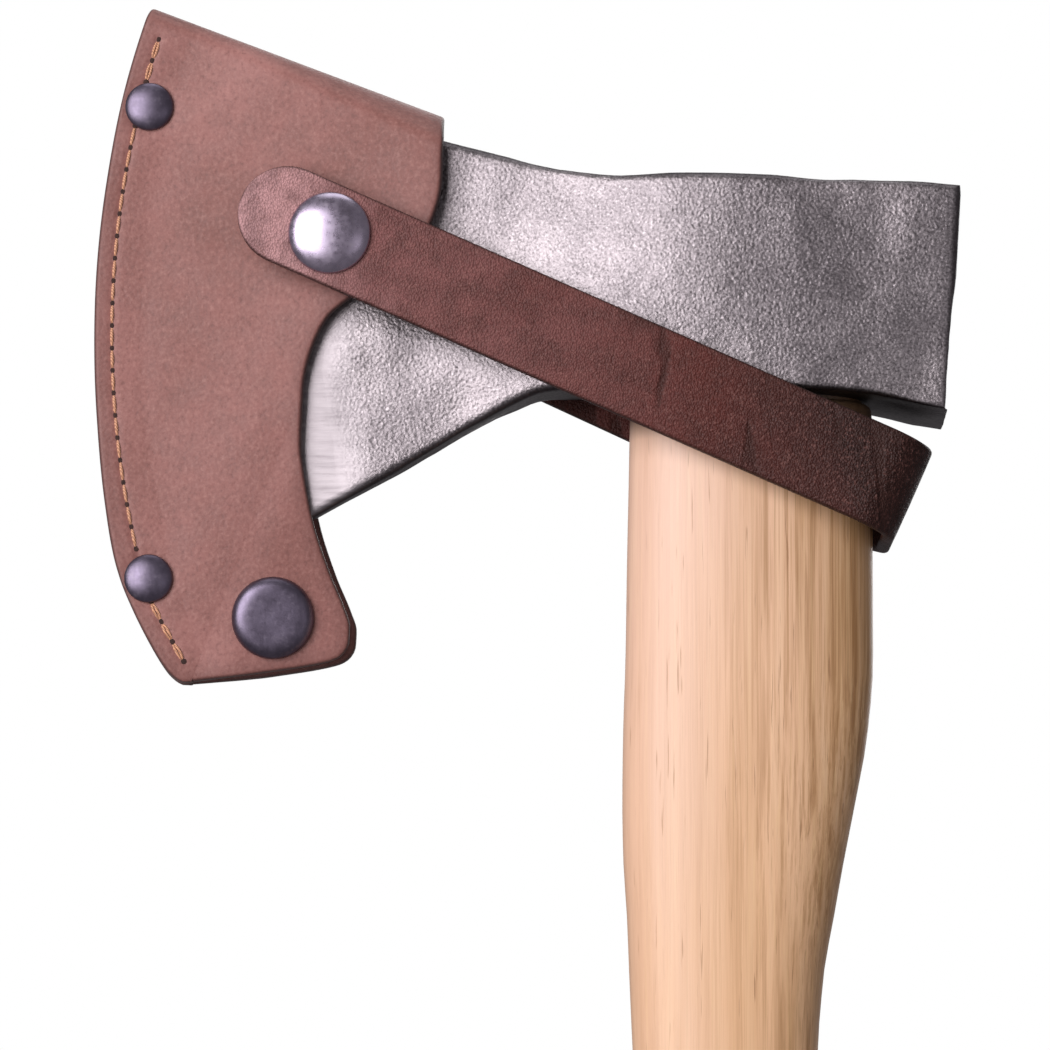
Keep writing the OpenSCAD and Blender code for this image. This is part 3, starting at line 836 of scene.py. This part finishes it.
def fold_profile(depth, width):
    """How far the leather stands from the mid plane at a depth below the fold."""
    reach = width / 2.6 * 1.8
    x = np.clip(depth / reach, 0, 1)
    return width * (1 - (1 - x) ** 1.8) ** 0.75


def fold_angle(r):
    k = (ARC[0] - FOLD[0]) * math.sin(FOLD_TILT) + (ARC[1] - FOLD[1]) * math.cos(FOLD_TILT)
    return 180 - np.degrees(np.arcsin((-APEX_DEPTH - k) / r)) - math.degrees(FOLD_TILT)


def panel_grid():
    """One side of the folded sheet in the side view, from the fold (row 0) down, and from its mouth or
    bending line (column 0) to the sewn edge. Also which rows start at the bending line, and where the
    columns start and end."""
    near_fold = [0, 0.05, 0.15, 0.35, 0.7, 1.1, 1.6, 2.2, 2.9, 3.7, 4.5, 5.3, 6.1]
    steps = np.concatenate([near_fold, np.arange(7, FOLD_TO_FOOT - 0.4, 0.66)])
    sigma = np.append(steps / FOLD_TO_FOOT, 1.0)
    flap_top = mouth_crossing()
    crossing = (flap_top - TOP_ANGLE) / (BOTTOM_ANGLE - TOP_ANGLE)
    sigma[np.argmin(np.abs(sigma - crossing))] = crossing
    angle = TOP_ANGLE + (BOTTOM_ANGLE - TOP_ANGLE) * sigma
    bends = hinge_reach(angle)
    mouth = smooth_curve(MOUTH, angle)
    is_flap = angle > flap_top - 1e-6
    low = np.where(is_flap, bends, mouth)
    high = np.maximum(smooth_curve(SEAM_EDGE, angle), low + 0.05)
    seam = 7.6
    inner_t = border_steps(1.0, 0.024, fine=(0, 0.0015, 0.005, 0.010, 0.017, 0.026), high=False)
    columns = []
    for lo, hi in zip(low, high):
        width = min(seam, 0.5 * (hi - lo))
        wide = lo + (hi - width - lo) * inner_t
        edge = hi - width + width * border_steps(seam, 0.42, low=False)[1:]
        columns.append(np.concatenate([wide, edge]))
    r = np.array(columns)
    top = fold_angle(r)
    a = np.radians(top + (BOTTOM_ANGLE - top) * sigma[:, None])
    return r, a, is_flap, low, high


def seam_marks():
    """Angles of the stitches' two ends along the seam, and whether the seam is sewn twice there."""
    ends = []
    for start, count in STITCH_RUNS:
        for i in range(count):
            middle = start + i * STITCH_STEP
            ends.append((middle - 0.5 * STITCH_STEP, middle + 0.5 * STITCH_STEP, count < 5))
    return ends


def stitch_reach(angle):
    return STITCH_R - STITCH_INSET * np.maximum(angle - STITCH_TURN, 0)


def polar(r, angle):
    a = math.radians(angle)
    return ARC[0] + r * math.cos(a), ARC[1] + r * math.sin(a)


def press_in(x, z):
    """How deep the surface is pressed in by the stitches and the rivets, at side-view places."""
    depth = np.zeros_like(x)
    r = np.hypot(x - ARC[0], z - ARC[1])
    a = np.degrees(np.arctan2(z - ARC[1], x - ARC[0])) % 360
    on_seam = ((a > 162.2) & (a < 200.4)).astype(float)
    depth += 0.22 * np.exp(-((r - stitch_reach(a)) / 0.75) ** 2) * on_seam
    for reach, angle in RIVETS:
        px, pz = polar(reach, angle)
        depth += 0.25 * np.exp(-(np.maximum(np.hypot(x - px, z - pz) - 4.6, 0) / 1.3) ** 2)
    return depth


def leather_wave(points, depth, angle):
    """Slow waves of the sheet, none at the fold and at the lower edge."""
    wave = smooth_noise(points, 34, 4) * 0.28 + smooth_noise(points, 12, 5) * 0.1
    return wave * np.clip(depth / 12, 0, 1) * np.clip((201 - angle) / 4, 0, 1)


def flap_frame(x, z):
    """Distance along the flaps' bending line and beyond it, at side-view places."""
    c, s = math.cos(FLAP_TURN), math.sin(FLAP_TURN)
    return (x - FLAP[0]) * c + (z - FLAP[1]) * s, (x - FLAP[0]) * s - (z - FLAP[1]) * c


def before_flap(x, z):
    """How much the layers draw together ahead of the bending line, so that no ridge shows there."""
    t, n = flap_frame(x, z)
    reach = 9
    return GAP_SLOPE * np.clip(n + reach, 0, reach) ** 2 / (2 * reach) * smooth_step((FLAP_LEN - t) / 14)


def make_welt():
    """The filler strip inside the seam."""
    sigma = border_steps(FOLD_TO_FOOT, 1.2)
    angle = TOP_ANGLE + (BOTTOM_ANGLE - TOP_ANGLE) * sigma
    high = smooth_curve(SEAM_EDGE, angle) - 0.15
    v = border_steps(8.0, 0.8, low=False)
    r = WELT_R + (np.maximum(high, WELT_R + 0.6) - WELT_R)[:, None] * v[None]
    top = fold_angle(r) + 0.55
    a = np.radians(top + (BOTTOM_ANGLE - 0.04 - top) * sigma[:, None])
    x, z = ARC[0] + r * np.cos(a), ARC[1] + r * np.sin(a)
    half = GAP * edge_round(r[:, -1:] - r, 0.7) * 0.99
    front = np.stack([x, -half, z + head_z], 2)
    welt = slab("seam_welt", front, front * (1, -1, 1))
    dress(welt, "welt_leather", "sheath", "welt")


def make_sheath():
    """The folded sheet. Returns its edge along the bending line, which the flaps start from, and the line
    round the mouth and a flap's rim."""
    r, a, is_flap, low, high = panel_grid()
    x, z = ARC[0] + r * np.cos(a), ARC[1] + r * np.sin(a)
    depth = -((x - FOLD[0]) * math.sin(FOLD_TILT) + (z - FOLD[1]) * math.cos(FOLD_TILT)) - APEX_DEPTH
    y = fold_profile(np.maximum(depth, 0), half_gap(r)) - before_flap(x, z)
    y[0] = 0
    front = np.stack([x, -y, z + head_z], 2)
    front[..., 1] -= leather_wave(front, depth, np.degrees(a)) * np.clip((198 - r) / 10, 0, 1)
    back = front * (1, -1, 1)
    sheet = np.concatenate([front[::-1], back[1:]])
    normals = grid_normals(sheet)
    if normals[10, 20, 1] > 0:
        normals = -normals
    first = int(np.argmax(is_flap))
    mouth = np.stack([x[:, 0], z[:, 0]], 1)
    mouth = np.concatenate([mouth[:first], flap_rim(mouth[first], mouth[-1], 240)[1]])
    mouth_edge = line_distance(x, z, mouth) + 50 * np.clip(np.degrees(a) - 195, 0, 1)
    seam_edge = high[:, None] - r
    share = edge_round(np.minimum(mouth_edge, seam_edge), 0.85)
    share = np.concatenate([share[::-1], share[1:]])
    thick = LEATHER / 2 * share[..., None]
    foot_edge = (BOTTOM_ANGLE - np.degrees(a)) * np.radians(1) * r
    border = np.minimum(np.minimum(mouth_edge, seam_edge), foot_edge)
    border = np.concatenate([border[::-1], border[1:]])
    pressed = press_in(x, z)
    pressed = np.concatenate([pressed[::-1], pressed[1:]])[..., None]
    outer = sheet + normals * (thick - pressed * (share[..., None] > 0.95))
    inner = sheet - normals * thick
    sheath = dress(slab("sheath_body", outer, inner, border), "sheath_hide", "sheath", "sheath_leather")
    rows = len(low)
    shared = (outer[:rows][::-1][first:, 0], inner[:rows][::-1][first:, 0], sheet[:rows][::-1][first:, 0])
    return shared, mouth


def make_flaps(shared, mouth):
    """The two lower corners, built as pieces of their own. Their first column is the sheath's own edge."""
    outer_edge, inner_edge, middle_edge = shared
    count = len(outer_edge)
    base = middle_edge[:, [0, 2]] - (0, head_z)
    place, rim = flap_rim(base[0], base[-1], count)
    v = border_steps(1.0, 0.035, fine=(0, 0.004, 0.012, 0.024, 0.04, 0.06), low=False)
    flat = base[:, None] + (rim - base)[:, None] * v[None, :, None]
    t, n = flap_frame(flat[..., 0], flat[..., 1])
    plane = GAP + LEATHER / 2 + math.tan(FLAP_YAW) * t - math.tan(FLAP_PITCH) * n
    w = smooth_step(n / 9.5)
    y = -middle_edge[:, None, 1] * (1 - w) + plane * w
    sheet = np.stack([flat[..., 0], -y, flat[..., 1] + head_z], 2)
    normals = grid_normals(sheet[2:-2])
    normals = np.concatenate([normals[:1], normals[:1], normals, normals[-1:], normals[-1:]])
    if normals[count // 2, 5, 1] > 0:
        normals = -normals
    border = np.minimum(line_distance(flat[..., 0], flat[..., 1], mouth), np.maximum(t + 0.05 * n, 0))
    share = edge_round(border, 0.85)[..., None]
    outer = sheet + normals * LEATHER / 2 * share
    inner = sheet - normals * LEATHER / 2 * share
    outer[:, 0], inner[:, 0] = outer_edge, inner_edge
    # The back flap is a little longer.
    ease = np.clip(place / 14, 0, 1) * np.clip((place[-1] - place) / 14, 0, 1)
    longer = (ease[:, None] * v[None] ** 3)[..., None] * np.array((1.3, 0, -0.35))
    for name, flip in (("front_flap", 1), ("back_flap", -1)):
        side = np.array((1, flip, 1))
        grow = longer * (flip < 0)
        flap = slab(name + "_leather", (outer + grow) * side, (inner + grow) * side, border)
        dress(flap, "sheath_hide", None, name)
        start = HEAD @ Vector((FLAP[0], 0, FLAP[1]))
        lift = FLAP_LEN / 2 * Vector((math.cos(FLAP_TURN), 0, math.sin(FLAP_TURN)))
        base = start + lift
        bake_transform(flap)


def make_thread():
    """The stitches on both faces, and near-black discs of painted shade where they go down their holes."""
    parts, holes = [], []
    lift = GAP + LEATHER
    for first, last, double in seam_marks():
        for side in (-1, 1):
            for strand, radius in ((-0.34, 0.3), (0.34, 0.28)) if double else ((0, 0.37),):
                path, taper = [], []
                for k in range(13):
                    s = k / 12
                    angle = first + (last - first) * (0.07 + 0.86 * s)
                    swell = math.sin(math.pi * s)
                    x, z = polar(stitch_reach(angle) + strand * swell**0.5, angle)
                    path.append((x, side * (lift + 0.66 * swell**0.5 - 0.72), z + head_z))
                    taper.append(0.72 + 0.28 * swell)
                parts.append(tube(path, radius, taper))
            # Near-black discs of painted shade at the stitch ends, for the holes.
            for end in (first, last):
                x, z = polar(stitch_reach(end), end)
                disc, faces = lathe([(0, -0.5), (0.52, -0.5), (0.58, -0.04), (0.48, 0.0), (0, 0.0)], 16)
                matrix = shift(x, side * (lift - 0.15), z + head_z) @ turn(math.pi / 2 * -side, "X")
                holes.append((placed(matrix, disc), faces))
    dress(new_object("seam_thread_loops", *joined(parts)), "waxed_thread", "sheath", "seam_thread")
    dress(new_object("seam_hole_shade_discs", *joined(holes)), "waxed_thread", "sheath", material="painted_hole_shade")


# ---------------------------------------------------------------- strap

def strap_route():
    """The strap's middle line from the front tip, round both bends, to the rear tip: points (u, y)."""
    mid_r = (BEND_RO + BEND_RI) / 2
    lean = math.tan(FRONT_YAW)
    tip_steps = -STRAP_TIP + STRAP_W / 2 * (1 - np.cos(np.linspace(0, math.pi / 2, 14)[:-1]))
    straight = np.arange(-STRAP_TIP + STRAP_W / 2, CORNER_U, 0.9)
    points = [(u, -(FRONT_Y + STRAP_T / 2 + u * lean)) for u in np.append(tip_steps, straight)]
    for a in np.radians(np.linspace(-90, 0, 26)[1:]):
        points.append((CORNER_U + mid_r * math.cos(a), FRONT_CORNER_Y + mid_r * math.sin(a)))
    behind = [(CORNER_U + mid_r, y) for y in np.arange(FRONT_CORNER_Y + 1, REAR_CORNER_Y, 1.0)]
    middle = len(points) + len(behind) // 2
    points += behind
    for a in np.radians(np.linspace(0, 90, 26)):
        points.append((CORNER_U + mid_r * math.cos(a), REAR_CORNER_Y + mid_r * math.sin(a)))
    knee = (REAR_Y - REAR_START_Y) / REAR_SLOPE
    tip = REAR_TIP_U + STRAP_W / 2
    soft = 4.0
    for u in np.concatenate([np.arange(CORNER_U - 1, tip, -0.9),
                             tip - STRAP_W / 2 * np.sin(np.linspace(0, math.pi / 2, 14))]):
        ramp = soft * math.log1p(math.exp(min((knee - u) / soft, 60)))
        points.append((u, REAR_Y + STRAP_T / 2 - REAR_SLOPE * ramp))
    return np.array(points), middle


def strap_piece(name, route, tip_first):
    """A length of strap as a closed solid. One end is a round tip; the other is cut square."""
    steps = np.linalg.norm(np.diff(route, axis=0), axis=1)
    length = np.append(0, np.cumsum(steps))
    from_tip = length if tip_first else length[-1] - length
    r = STRAP_W / 2
    half = np.where(from_tip < r, np.sqrt(np.maximum(r * r - (r - from_tip) ** 2, 0)), r)
    half = np.maximum(half, 0.05)
    columns = border_steps(STRAP_W, 0.9) * 2 - 1
    sheet = np.stack([np.repeat(route[:, :1], len(columns), 1), np.repeat(route[:, 1:], len(columns), 1),
                      half[:, None] * columns[None]], 2)
    tangent = np.gradient(route, axis=0)
    tangent /= np.linalg.norm(tangent, axis=1)[:, None]
    normal = np.stack([tangent[:, 1], -tangent[:, 0], np.zeros(len(route))], 1)[:, None]
    border = half[:, None] * (1 - np.abs(columns))[None]
    border = np.minimum(border, from_tip[:, None])
    share = edge_round(border, 0.9)
    world = placed(STRAP, sheet.reshape(-1, 3)).reshape(sheet.shape)
    wave = smooth_noise(world, 16, 6) * 0.16 + smooth_noise(world, 5, 7) * 0.05
    bulge = wave * np.clip(border / 3, 0, 1)
    outer = sheet + normal * (STRAP_T / 2 * share + bulge)[..., None]
    inner = sheet - normal * (STRAP_T / 2 * share - np.maximum(bulge, 0))[..., None]
    shape = outer.shape
    return slab(name, placed(STRAP, outer.reshape(-1, 3)).reshape(shape),
                placed(STRAP, inner.reshape(-1, 3)).reshape(shape), border)


def blend_strap(piece):
    """Bakes a piece's placement into its mesh."""
    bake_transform(piece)


def make_strap():
    route, middle = strap_route()
    front = strap_piece("strap_front", route[: middle + 1], True)
    dress(front, "strap_hide", None, "strap_front_leg")
    blend_strap(front)
    rear = strap_piece("strap_rear", route[middle:], False)
    dress(rear, "strap_hide", None, "strap_rear_leg", "strap_bend")
    blend_strap(rear)


# ---------------------------------------------------------------- metal fittings

def cap_profile(r, h, power=2.2):
    """A pressed cap: a dome with a rounded rim, closed underneath. A higher power gives a flatter dome."""
    rim = 0.5
    reach = np.sin(np.linspace(0, math.pi / 2, 22)) * 0.985
    dome = [(r * x, rim + (h - rim) * (1 - x**power) ** 0.62) for x in reach]
    return dome + [(r, rim * 0.8), (r, rim * 0.35), (r * 0.975, 0.05), (r * 0.9, 0.0), (0, 0.0)]


def snap_cap(name, place, r, h, t, body, node, power=2.2, material="gunmetal"):
    """A snap's cap with the stem that goes through the leather."""
    points, faces = lathe(cap_profile(r, h, power), 96)
    cap = placed(place @ shift(0, -t - 0.02, 0) @ turn(math.pi / 2, "X"), points)
    stem, stem_faces = lathe([(0, -0.1), (1.5, -0.1), (1.6, 0.0), (1.6, t), (0, t)], 32)
    stem = placed(place @ turn(math.pi / 2, "X"), stem)
    piece = new_object(name, *joined([(cap, faces), (stem, stem_faces)]))
    return dress(piece, "gunmetal", body, node, material=material)


def make_fittings():
    # The strap's cap takes the brighter copy of the metal, which is painted light.
    snap_cap("strap_snap_cap", FRONT_LEG, 8.5, 3.0, STRAP_T, "strap_front", "strap_cap",
             material="painted_light_cap")
    snap_cap("corner_snap_cap", CORNER, 8.5, 2.7, LEATHER, "front_flap", "corner_cap", 7.0)
    snap_cap("corner_snap_eyelet", MIRROR_Y @ CORNER, 5.6, 2.4, LEATHER, "back_flap", "corner_eyelet")
    caps = []
    for reach, angle in RIVETS:
        x, z = polar(reach, angle)
        for side in (-1, 1):
            points, faces = lathe(cap_profile(5.0, 2.0), 64)
            matrix = shift(x, side * (GAP + LEATHER - 0.1), z + head_z) @ turn(math.pi / 2 * -side, "X")
            caps.append((placed(matrix, points), faces))
    dress(new_object("seam_rivet_caps", *joined(caps)), "gunmetal", "sheath", "rivet_caps")
    points, faces = lathe(cap_profile(5.0, 2.0), 96)
    matrix = ANCHOR @ shift(0, STRAP_T + 0.02, 0) @ turn(-math.pi / 2, "X")
    cap = new_object("anchor_cap", placed(matrix, points), faces)
    dress(cap, "gunmetal", "sheath", "anchor_rivet_cap")


def finish_cad_nodes():
    """The CAD nodes that stay get their materials."""
    kept = {"wood_wedge": "wedge_wood", "ring_wedge": "wedge_steel",
            "corner_spring": "spring_wire", "strap_spring": "spring_wire"}
    for name in ("rivet_posts", "corner_socket", "corner_stud", "strap_socket", "strap_stud", "strap_eyelet",
                 "anchor_rivet_post"):
        kept[name] = "gunmetal"
    for name, slot in kept.items():
        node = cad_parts[name]
        for holder in node.material_slots:
            holder.link = "OBJECT"
            holder.material = MATERIALS[slot]


# ---------------------------------------------------------------- studio

def area_light(name, place, target, size, power, colour=(1, 1, 1)):
    data = bpy.data.lights.new(name, "AREA")
    data.shape = "RECTANGLE"
    data.size, data.size_y = size
    data.energy = power
    data.color = colour
    light = bpy.data.objects.new(name, data)
    light.location = place
    light.rotation_euler = (Vector(target) - Vector(place)).to_track_quat("-Z", "Y").to_euler()
    bpy.context.scene.collection.objects.link(light)


def make_studio():
    scene = bpy.context.scene
    scene.view_settings.view_transform = "Standard"
    world = bpy.data.worlds.new("studio")
    scene.world = world
    world.use_nodes = True
    tree = world.node_tree
    tree.nodes.clear()
    out = tree.nodes.new("ShaderNodeOutputWorld")
    seen = tree.nodes.new("ShaderNodeBackground")
    lit = tree.nodes.new("ShaderNodeBackground")
    path = tree.nodes.new("ShaderNodeLightPath")
    mix = tree.nodes.new("ShaderNodeMixShader")
    seen.inputs[0].default_value = (1, 1, 1, 1)
    lit.inputs[0].default_value = (1.0, 0.94, 0.98, 1)
    lit.inputs[1].default_value = 0.21
    tree.links.new(path.outputs["Is Camera Ray"], mix.inputs[0])
    tree.links.new(lit.outputs[0], mix.inputs[1])
    tree.links.new(seen.outputs[0], mix.inputs[2])
    tree.links.new(mix.outputs[0], out.inputs[0])

    centre = (-0.047, 0, (head_z - 20) * MM)
    area_light("key", (-0.91, -1.19, centre[2] + 0.31), centre, (1.25, 1.3), 28, (1, 0.95, 0.965))
    area_light("fill", (0.7, -1.3, centre[2] - 0.1), centre, (0.5, 0.5), 0.6, (1, 0.95, 0.99))
    area_light("top", (0.0, -0.1, centre[2] + 1.2), centre, (0.8, 0.6), 3)
    area_light("back", (0.3, 1.2, centre[2] + 0.5), centre, (1.0, 1.0), 8)

    camera_data = bpy.data.cameras.new("camera")
    camera = bpy.data.objects.new("camera", camera_data)
    scene.collection.objects.link(camera)
    distance, below = 1.6, 0.18
    target = Vector((-0.0470, 0.0, (head_z - 20.1) * MM))
    camera.location = target + Vector((0.0, -distance, -below))
    camera.rotation_euler = (target - camera.location).to_track_quat("-Z", "Y").to_euler()
    camera_data.sensor_width = 36
    camera_data.lens = 36 * math.hypot(distance, below) / 0.2178
    camera_data.clip_end = 30
    scene.camera = camera


make_head()
make_handle()
make_flaps(*make_sheath())
make_welt()
make_thread()
make_strap()
make_fittings()
finish_cad_nodes()
make_studio()
